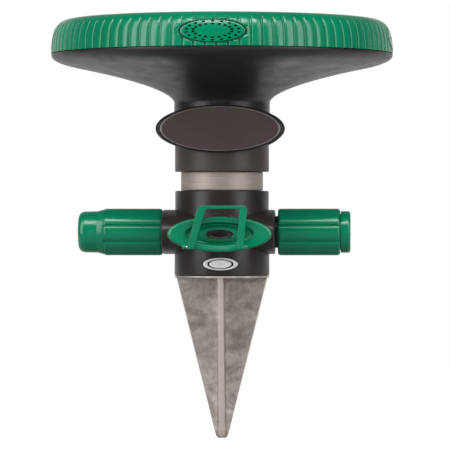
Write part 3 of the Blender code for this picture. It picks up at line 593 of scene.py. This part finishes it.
# ---------------------------------------------------------------- riser band
def make_riser():
    r, low, high = RISER_HIGH.x, 0.0626, 0.0758
    spigot, bore_r = 0.0200, 0.0080
    profile = fillet([(bore_r, high + 0.0080), (spigot, high + 0.0080), (spigot, high),
                      (r - 0.0002, high, 0.0003), (r, high - 0.0010, 0.0002), (r, low + 0.0010, 0.0002), (r - 0.0002, low, 0.0003),
                      (spigot, low), (spigot, RISER_LOW.z), (bore_r, RISER_LOW.z)], 3)
    wear(lathe("riser_band", profile, segments=160, ring=True), BAND, "base", ["riser_tube"])


# ---------------------------------------------------------------- tee
def make_tee():
    low, high = TEE_LOW.z, TEE_HIGH.z
    lower_r, upper_r = 0.0341, 0.0337
    left, right, bottom, top = TEE_LOW.x, TEE_HIGH.x, 0.0168, 0.0488
    core_r, bolt_r, ledge = 0.0200, 0.0104, 0.0143
    profile = fillet([(core_r, bottom + 0.006), (lower_r, bottom + 0.006), (lower_r, low, 0.0006),
                      (bolt_r, low), (bolt_r, ledge), (core_r, ledge)], 4)
    collar = lathe("tee_lower_collar", profile, segments=160, ring=True)
    seat_r = (CLAMP_HIGH.z - CLAMP_LOW.z) / 2 + 0.0004
    stretch = (CLAMP_HIGH.x - CLAMP_LOW.x) / (CLAMP_HIGH.z - CLAMP_LOW.z)
    clamp_z = (CLAMP_HIGH.z + CLAMP_LOW.z) / 2
    seat = lathe("seat", box_section((0, seat_r), (0.0313, 0.0400)), "front", (0, 0, clamp_z), 96, stretch)
    cut(collar, seat)
    wear(collar, BLACK, "base", ["tee_body"])
    upper = lathe("tee_upper_collar", fillet([(0.0203, high), (upper_r, high, 0.0010), (upper_r, top - 0.008),
                                              (0.0203, top - 0.008)], 5), segments=160, ring=True)
    wear(upper, BLACK, "base")
    half = (top - bottom) / 2
    profile = fillet([(0, right), (half, right, 0.0011), (half, left, 0.0011), (0, left)], 5)
    barrel = lathe("tee_barrel", profile, "right", (0, 0, (top + bottom) / 2), 160)
    depth = 0.0400 / half
    for vertex in barrel.data.vertices:
        vertex.co.y *= depth
    wear(barrel, BLACK, "base")
    profile = fillet([(0, 0.0440), (0.0150, 0.0440, 0.0005), (0.0150, 0.0300), (0, 0.0300)], 4)
    boss = lathe("tee_valve_boss", profile, "front", (0, 0, VALVE_Z), 96)
    wear(boss, BLACK, "base")


def make_clamp_screw():
    half = (CLAMP_HIGH.z - CLAMP_LOW.z) / 2
    stretch = (CLAMP_HIGH.x - CLAMP_LOW.x) / 2 / half
    face, seat = -CLAMP_LOW.y, 0.0316
    profile = fillet([(0, face - 0.0013), (0.0003, face - 0.0013), (0.0005, face - 0.0007, 0.0001),
                      (0.0028, face - 0.0004, 0.0004), (0.0030, face - 0.0014, 0.0001),
                      (0.0033, face - 0.0014, 0.0001),
                      (0.0035, face - 0.0002, 0.0002), (0.0040, face, 0.0003), (half, face - 0.0007, 0.0003),
                      (half, seat), (0, seat)], 3)
    head = lathe("clamp_screw_head", profile, "front", (0, 0, (CLAMP_HIGH.z + CLAMP_LOW.z) / 2), 128, stretch)
    wear(head, BADGE, "base", ["clamp_screw"])
    # A near-black ring set in the head's groove: painted shade.
    strip = box_section((0.0029, 0.0034), (face - 0.0016, face - 0.0008))
    groove = lathe("clamp_screw_groove", strip, "front", (0, 0, (CLAMP_HIGH.z + CLAMP_LOW.z) / 2), 128, stretch,
                   ring=True)
    wear(groove, PAINTED_SHADE, "base")


# ---------------------------------------------------------------- ground spike
def make_spike():
    flange_r, tip = SPIKE_HIGH.x, SPIKE_LOW.z
    profile = fillet([(0, 0.0015), (flange_r, 0.0015, 0.0005), (flange_r, 0, 0.0004), (0, 0)], 4)
    flange = lathe("spike_flange", profile, segments=128)
    wear(flange, ZINC, "base", ["spike"])
    stations = [0.0006, 0.0] + [tip * (k / 26) for k in range(1, 26)] + [tip + 0.0012, tip + 0.0003, tip]
    sections = []
    for z in stations:
        along = min(max(z / tip, 0), 1)
        half = FIN_ROOT + (FIN_TIP - FIN_ROOT) * along
        thick = 0.0021 + 0.0004 * along
        if z < tip + 0.0015:
            half -= 0.0012 * (1 - (z - tip) / 0.0015)
        sections.append([Vector((x, y, z)) for x, y in fin_section(half, min(thick, half * 0.7))])
    fins = loft("spike_fins", sections, 40)
    wear(fins, ZINC, "base")


def fin_section(half, thick):
    """A plus-shaped outline: four fins with chamfered edges, draft, and rounded inside corners."""
    root = min(thick * 1.5, half * 0.8)
    reach = min(0.0030, (half - root) * 0.5)
    edge = [(half, thick - 0.0009), (half - 0.0002, thick - 0.0005), (half - 0.0004, thick - 0.0002)]
    bend = [(root + reach, thick + 0.0002), (root + reach * 0.35, thick + (root - thick) * 0.45)]
    side = edge + bend
    first = side + [(root * 0.92, root * 0.92)] + [(y, x) for x, y in reversed(side)]
    points = []
    for k in range(4):
        cos, sin = (1, 0, -1, 0)[k], (0, 1, 0, -1)[k]
        points += [(x * cos - y * sin, x * sin + y * cos) for x, y in first]
    return points


# ---------------------------------------------------------------- valve knob and bail
BAIL_Y, BAIL_Z = JOINTS["bail_fold"]["pos_m"][1:]


def make_knob():
    half = 0.0126
    stretch = KNOB_HIGH.x / half
    front, back = 0.0545, -KNOB_HIGH.y
    floor = front - 0.0047
    profile = fillet([
        (0, floor), (0.0052, floor + 0.0001, 0.0008), (0.0064, floor - 0.0016, 0.0006),
        (0.0074, floor - 0.0012, 0.0006),
        (0.0081, floor + 0.0026, 0.0008),
        (0.0084, floor + 0.0036, 0.0003), (0.0090, floor + 0.0038, 0.0004), (0.0108, front - 0.0002, 0.0010),
        (0.0117, front, 0.0004), (half - 0.0001, front - 0.0010, 0.0006), (half, front - 0.0026, 0.0009),
        (half - 0.0004, front - 0.0042, 0.0008), (0.0090, back), (0, back)], 5)
    dish = lathe("valve_knob_dish", profile, "front", (0, 0, VALVE_Z), 192, stretch, sharp=38)
    wear(dish, DEEP_GREEN, "valve", ["valve_knob"])
    lug_back = -0.0515
    length = lug_back - BAIL_Y
    curve = [(-0.0016 * math.sin(a), 0.0016 * math.cos(a)) for a in np.linspace(0, math.pi, 13)]
    outline = curve + [(length, -0.0016), (length, 0.0016)]
    for side, low_x, high_x in (("left", -0.0262, -0.0232), ("right", 0.0174, 0.0204)):
        middle = ((low_x + high_x) / 2, BAIL_Y, BAIL_Z)
        lug = plate(f"bail_lug_{side}", outline, high_x - low_x, "right", middle, 0.0004)
        wear(lug, DEEP_GREEN, "valve")


def make_knob_screw():
    half = 0.0034
    floor = 0.0545 - 0.0040 + 0.0005
    stretch = 0.0096 / half
    profile = fillet([(0, floor + 0.0013), (0.0024, floor + 0.0015), (0.0028, floor + 0.0019, 0.0002),
                      (0.0033, floor + 0.0018, 0.0003), (half, floor + 0.0010, 0.0003),
                      (half, floor), (0, floor)], 4)
    head = lathe("knob_screw_head", profile, "front", (0, 0, VALVE_Z), 96, stretch)
    arms = [plate("arm_one", box_outline(0.0046, 0.00036), 0.003, "front", (0, -floor - 0.0022, VALVE_Z)),
            plate("arm_two", box_outline(0.0010, 0.0017), 0.003, "front", (0, -floor - 0.0022, VALVE_Z))]
    cut(head, *arms)
    wear(head, JET, "valve", ["knob_screw"])


def box_outline(half_x, half_y):
    return [(-half_x, -half_y), (half_x, -half_y), (half_x, half_y), (-half_x, half_y)]


def make_bail():
    corners = [(-0.0228, -0.0012), (-0.0149, 0.0292, 0.0036), (0.0200, 0.0292, 0.0040), (0.0170, -0.0012),
               (0.0166, -0.0014), (0.0124, -0.0014), (0.0120, -0.0012), (0.0147, 0.0269, 0.0016),
               (-0.0095, 0.0269, 0.0022), (-0.0178, -0.0012), (-0.0182, -0.0014), (-0.0224, -0.0014)]
    outline = fillet(corners, 6)
    loop = plate("bail_loop", outline, 0.0030, "front", (0, BAIL_Y, BAIL_Z), 0.0006, 3)
    wear(loop, DEEP_GREEN, "bail", ["bail"])


# ---------------------------------------------------------------- hose couplings
GRIP_R, LOBES = 0.01675, 9
LOBE_SHAPE = (                         # (part of the pitch, height above the grip's radius)
    (0.0, -0.0012), (0.045, -0.0012), (0.07, -0.00035), (0.12, -0.00012), (0.30, 0.0001), (0.50, 0.00015),
    (0.70, 0.0001), (0.88, -0.00012), (0.93, -0.00035), (0.955, -0.0012))
STUB_R, STUB_BORE = 0.0115, 0.0075
LOBE_START = 16.5                     # degrees above the front where one groove lies


def grip_ring(x, inset):
    points = []
    for lobe in range(LOBES):
        for part, lift in LOBE_SHAPE:
            angle = math.pi - math.radians(LOBE_START) + 2 * math.pi * (lobe + part) / LOBES
            radius = GRIP_R + max(lift - inset * 0.2, -0.0013) - inset
            points.append(Vector((x, radius * math.cos(angle), HUB_Z + radius * math.sin(angle))))
    return points


def make_grip(name, low, high):
    edge = ((0.0, 0.0013), (0.0002, 0.0008), (0.0006, 0.0004), (0.0012, 0.0001), (0.0020, 0.0))
    stations = [(low + step, inset) for step, inset in edge]
    stations += [(high - step, inset) for step, inset in reversed(edge)]
    return loft(name, [grip_ring(x, inset) for x, inset in stations], 30)


def make_inlet():
    nut = make_grip("inlet_grip", NUT_LOW.x, NUT_HIGH.x)
    bore = lathe("bore", [(0, NUT_HIGH.x + 0.001), (0.0132, NUT_HIGH.x + 0.001), (0.0132, NUT_LOW.x + 0.0052),
                          (0.0119, NUT_LOW.x + 0.0052), (0.0119, NUT_LOW.x - 0.001), (0, NUT_LOW.x - 0.001)],
                 "right", (0, 0, HUB_Z), 96)
    cut(nut, bore, sharp=30)
    wear(nut, DEEP_GREEN, "inlet", ["inlet_nut"])
    start, end, r = NUT_HIGH.x + GAP, END_HIGH.x, 0.0150
    hole_r, spigot_r = 0.0095, 0.0129
    profile = fillet([(hole_r, end), (0.0105, end, 0.0004), (r, end, 0.0026), (r, start, 0.0004),
                      (spigot_r, start), (spigot_r, END_LOW.x), (hole_r, END_LOW.x)], 5)
    ring = lathe("inlet_end_ring", profile, "right", (0, 0, HUB_Z), 128, ring=True)
    wear(ring, DEEP_GREEN, "inlet", ["inlet_ring"])
    stub_low, stub_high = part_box("inlet_stub")
    flange = NUT_LOW.x + 0.0057
    profile = [(STUB_BORE, stub_high.x), (STUB_R, stub_high.x), (STUB_R, flange + 0.003), (0.0128, flange + 0.003),
               (0.0128, flange), (STUB_R, flange), (STUB_R, stub_low.x), (STUB_BORE, stub_low.x)]
    pipe = lathe("inlet_stub_pipe", profile, "right", (0, 0, HUB_Z), 96, ring=True)
    wear(pipe, BLACK, "base", ["inlet_stub"])


def make_cap():
    step = CAP_HIGH.x - 0.0424
    grip = make_grip("cap_grip", step, CAP_HIGH.x)
    bore = lathe("bore", box_section((0, 0.0118), (-0.0686, CAP_HIGH.x + 0.001)), "right", (0, 0, HUB_Z), 96)
    cut(grip, bore, sharp=30)
    wear(grip, DEEP_GREEN, "cap", ["outlet_cap"])
    end = CAP_LOW.x
    nose = lathe("cap_nose", fillet([
        (0, step + 0.0004), (0.0162, step + 0.0004), (0.0160, step - 0.0008, 0.0006),
        (0.0151, step - 0.0040, 0.0010),
        (0.0149, step - 0.0046, 0.0004), (0.0147, end, 0.0056), (0, end)], 6), "right", (0, 0, HUB_Z), 128)
    wear(nose, DEEP_GREEN, "cap")
    stub_low, stub_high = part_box("outlet_stub")
    ribs = []
    for k in range(11):
        x = -0.0455 - 0.0018 * k
        ribs += [(STUB_R, x), (STUB_R, x - 0.0004), (0.0110, x - 0.0008), (0.0110, x - 0.0012)]
    profile = [(STUB_BORE, stub_high.x), (STUB_R, stub_high.x), *ribs, (STUB_R, stub_low.x), (STUB_BORE, stub_low.x)]
    pipe = lathe("outlet_stub_pipe", profile, "right", (0, 0, HUB_Z), 96, ring=True)
    wear(pipe, BLACK, "base", ["outlet_stub"])


# ---------------------------------------------------------------- the top of the dial
NOZZLE_SPOTS = {"shower_rose": (0, -1), "flat_nozzle": (1, 0), "jet_nozzle": (0, 1), "mist_nozzle": (-1, 0)}


def nozzle_cutters(name, spot, low, high):
    if name == "flat_nozzle":
        return [lathe("slot", [(0, high), (0.0011, high), (0.0011, low), (0, low)], "up",
                      (spot.x, spot.y, 0), 24, 1.0)] + \
            [plate("slot_long", box_outline(0.0007, 0.0115), high - low, "up", (spot.x, spot.y, (low + high) / 2))]
    if name == "jet_nozzle":
        profile = [(0, high), (0.0052, high), (0.0052, 0.1826), (0.0025, 0.1800), (0.0025, low), (0, low)]
        return [lathe("bore", profile, "up", (spot.x, spot.y, 0), 64)]
    rings = ((0.0135, 18), (0.0090, 12), (0.0045, 6)) if name == "shower_rose" else ((0.0050, 3),)
    radius = 0.0008 if name == "shower_rose" else 0.0010
    made = []
    for reach, count in rings:
        for k in range(count):
            angle = 2 * math.pi * (k + 0.5) / count
            centre = (spot.x + reach * math.cos(angle), spot.y + reach * math.sin(angle), 0)
            made.append(lathe("hole", box_section((0, radius), (low, high)), "up", centre, 12))
    return [joined(made)]


def make_dial_top():
    plate_low, plate_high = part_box("dial_plate")
    low, top, outer = plate_low.z, plate_high.z, plate_high.x
    disc = lathe("dial_plate_disc", fillet([
        (0.0063, top), (0.0200, top), (0.0205, top + 0.0006, 0.0003), (0.0225, top + 0.0006, 0.0003),
        (0.0230, top), (0.0760, top), (0.0765, top + 0.0006, 0.0003), (0.0785, top + 0.0006, 0.0003),
        (0.0790, top), (outer, top), (outer, low), (0.0063, low)], 3), segments=192, ring=True)
    reach = 0.0500
    for name, (side_x, side_y) in NOZZLE_SPOTS.items():
        spot = Vector((side_x * reach, side_y * reach, 0))
        node_low, node_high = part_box(name)
        rim, foot, r = node_high.z, node_low.z, 0.0180
        hole = lathe("seat", box_section((0, r + GAP), (low - 0.001, top + 0.002)), "up", spot, 96)
        cut(disc, hole, sharp=32)
        cup = lathe(f"{name}_cup", fillet([
            (0, rim - 0.0008), (0.0150, rim - 0.0008), (0.0156, rim, 0.0003), (0.0174, rim, 0.0004),
            (r, rim - 0.0006, 0.0003), (r, foot), (0, foot)], 4), "up", spot, 96)
        cut(cup, *nozzle_cutters(name, spot, foot - 0.001, rim + 0.001))
        brass = name == "jet_nozzle"
        wear(cup, BRASS if brass else GREEN, "dial", [name])
    wear(disc, BLACK, "dial", ["dial_plate"])

    washer_low, washer_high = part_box("dial_washer")
    washer = lathe("dial_washer_disc", fillet([
        (0.0028, washer_high.z), (0.0105, washer_high.z, 0.0003), (0.0105, washer_low.z, 0.0003),
        (0.0028, washer_low.z)], 3), segments=96, ring=True)
    wear(washer, STEEL, "dial", ["dial_washer"])
    head_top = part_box("dial_screw")[1].z
    head_low = washer_high.z + GAP
    screw = lathe("dial_screw_head", fillet([
        (0, head_top), (0.0040, head_top - 0.0001, 0.0005), (0.0055, head_top - 0.0010, 0.0006),
        (0.0055, head_low),
        (0.0024, head_low), (0.0024, 0.1660), (0, 0.1660)], 4), segments=64)
    arms = [plate(f"arm_{k}", box_outline(*size), 0.0030, "up", (0, 0, head_top))
            for k, size in enumerate(((0.0031, 0.00045), (0.00045, 0.0030)))]
    cut(screw, *arms)
    wear(screw, STEEL, "dial", ["dial_screw"])


# ---------------------------------------------------------------- build it
make_dial_ring()
make_icons()
make_dial_top()
make_bowl()
make_covers()
make_sleeve()
make_riser()
make_tee()
make_clamp_screw()
make_knob()
make_knob_screw()
make_bail()
make_inlet()
make_cap()
make_spike()

for subpart in frame["record"]["subparts"]:
    node = frame["nodes"][subpart["node"]]
    node.data.materials.clear()
    node.data.materials.append(BY_SLOT[subpart["material_slot"]])


# ---------------------------------------------------------------- floor, light and camera
# How the surround's light runs: from and to along one axis, and what it gives there
BACKDROP = (0.30, 0.85, 0.06, 0.8)    # along +Y
OVERHEAD = (0.05, 0.50, 1.0, 0.30)    # along +Z
# The lit floor round and behind the object, which glows between these distances from the axis and along +Y
FLOOR_GLOW, GLOW_REACH, GLOW_DEPTH = 0.50, (0.17, 0.32), (-0.25, 0.05)


def make_floor():
    size, level = 1.2, CAD_BOX[0].z - 0.0005
    mesh = bpy.data.meshes.new("floor")
    corners = [(-size, -size, level), (size, -size, level), (size, size, level), (-size, size, level)]
    mesh.from_pydata(corners, [], [(0, 1, 2, 3)])
    floor = bpy.data.objects.new("floor", mesh)
    bpy.context.scene.collection.objects.link(floor)
    finish = Finish("pale_floor", Roughness=0.9, Specular_IOR_Level=0.1, Emission_Color=(1, 1, 1, 1))
    finish.colour(finish.mix(finish.noise(3, 2), (0.22, 0.22, 0.22), (0.24, 0.24, 0.24)))
    reach = finish.nodes.new("ShaderNodeVectorMath")
    reach.operation = "LENGTH"
    finish.links.new(finish.place, reach.inputs["Vector"])
    around = finish.spread(reach.outputs["Value"], 0.0, FLOOR_GLOW, *GLOW_REACH)
    behind = finish.spread(finish.axes()[1], 0.0, 1.0, *GLOW_DEPTH)
    seen = finish.nodes.new("ShaderNodeLightPath").outputs["Is Camera Ray"]
    glow = finish.calculate("MAXIMUM", finish.calculate("MULTIPLY", around, behind), seen)
    finish.links.new(glow, finish.shader.inputs["Emission Strength"])
    mesh.materials.append(finish.material)


def soft_light(name, place, target, size, power, mirrored=True):
    data = bpy.data.lights.new(name, "AREA")
    data.shape, data.size, data.size_y, data.energy = "RECTANGLE", size[0], size[1], power
    lamp = bpy.data.objects.new(name, data)
    bpy.context.scene.collection.objects.link(lamp)
    lamp.location = place
    lamp.rotation_euler = (Vector(target) - Vector(place)).to_track_quat("-Z", "Y").to_euler()
    lamp.visible_glossy = mirrored


def make_world():
    """A white backdrop. As a light it is bright behind the object and dim in front, as in a photo studio."""
    world = bpy.data.worlds.new("studio")
    bpy.context.scene.world = world
    world.use_nodes = True
    nodes, links = world.node_tree.nodes, world.node_tree.links
    seen = nodes["Background"]
    seen.inputs["Color"].default_value = (1, 1, 1, 1)
    lit = nodes.new("ShaderNodeBackground")
    lit.inputs["Color"].default_value = (1, 1, 1, 1)
    split = nodes.new("ShaderNodeSeparateXYZ")
    links.new(nodes.new("ShaderNodeTexCoord").outputs["Generated"], split.inputs["Vector"])
    parts = []
    for axis, span in (("Y", BACKDROP), ("Z", OVERHEAD)):
        ramp = nodes.new("ShaderNodeMapRange")
        ramp.interpolation_type = "SMOOTHSTEP"
        for socket, number in zip(("From Min", "From Max", "To Min", "To Max"), span):
            ramp.inputs[socket].default_value = number
        links.new(split.outputs[axis], ramp.inputs["Value"])
        parts.append(ramp.outputs["Result"])
    product = nodes.new("ShaderNodeMath")
    product.operation = "MULTIPLY"
    for part, socket in zip(parts, product.inputs):
        links.new(part, socket)
    links.new(product.outputs["Value"], lit.inputs["Strength"])
    path, choice = nodes.new("ShaderNodeLightPath"), nodes.new("ShaderNodeMixShader")
    links.new(path.outputs["Is Camera Ray"], choice.inputs["Fac"])
    links.new(lit.outputs["Background"], choice.inputs[1])
    links.new(seen.outputs["Background"], choice.inputs[2])
    links.new(choice.outputs["Shader"], nodes["World Output"].inputs["Surface"])


def make_lights():
    soft_light("left_box", (-1.30, -1.05, 0.75), (0, 0, 0.10), (1.0, 2.0), 24)
    soft_light("right_box", (1.30, -1.05, 0.75), (0, 0, 0.10), (1.0, 2.0), 20)
    soft_light("low_fill", (0, -2.9, 0.0), (0, 0, 0.05), (1.4, 0.35), 22, mirrored=False)
    soft_light("front_fill", (0, -1.3, 1.9), (0, 0, 0.05), (1.6, 0.7), 35)


def make_camera():
    azimuth, distance, height = math.radians(2.0), 2.54, 0.0378
    metres_each_pixel = 0.00072
    sensor, picture = 36.0, 450
    data = bpy.data.cameras.new("camera")
    data.sensor_width = sensor
    data.lens = sensor * distance / (metres_each_pixel * picture)
    data.shift_x = 3 / picture
    camera = bpy.data.objects.new("camera", data)
    bpy.context.scene.collection.objects.link(camera)
    camera.location = (distance * math.sin(azimuth), -distance * math.cos(azimuth), height)
    camera.rotation_euler = (math.pi / 2, 0, azimuth)
    bpy.context.scene.camera = camera


make_floor()
make_world()
make_lights()
make_camera()
bpy.context.scene.view_settings.view_transform = "Standard"
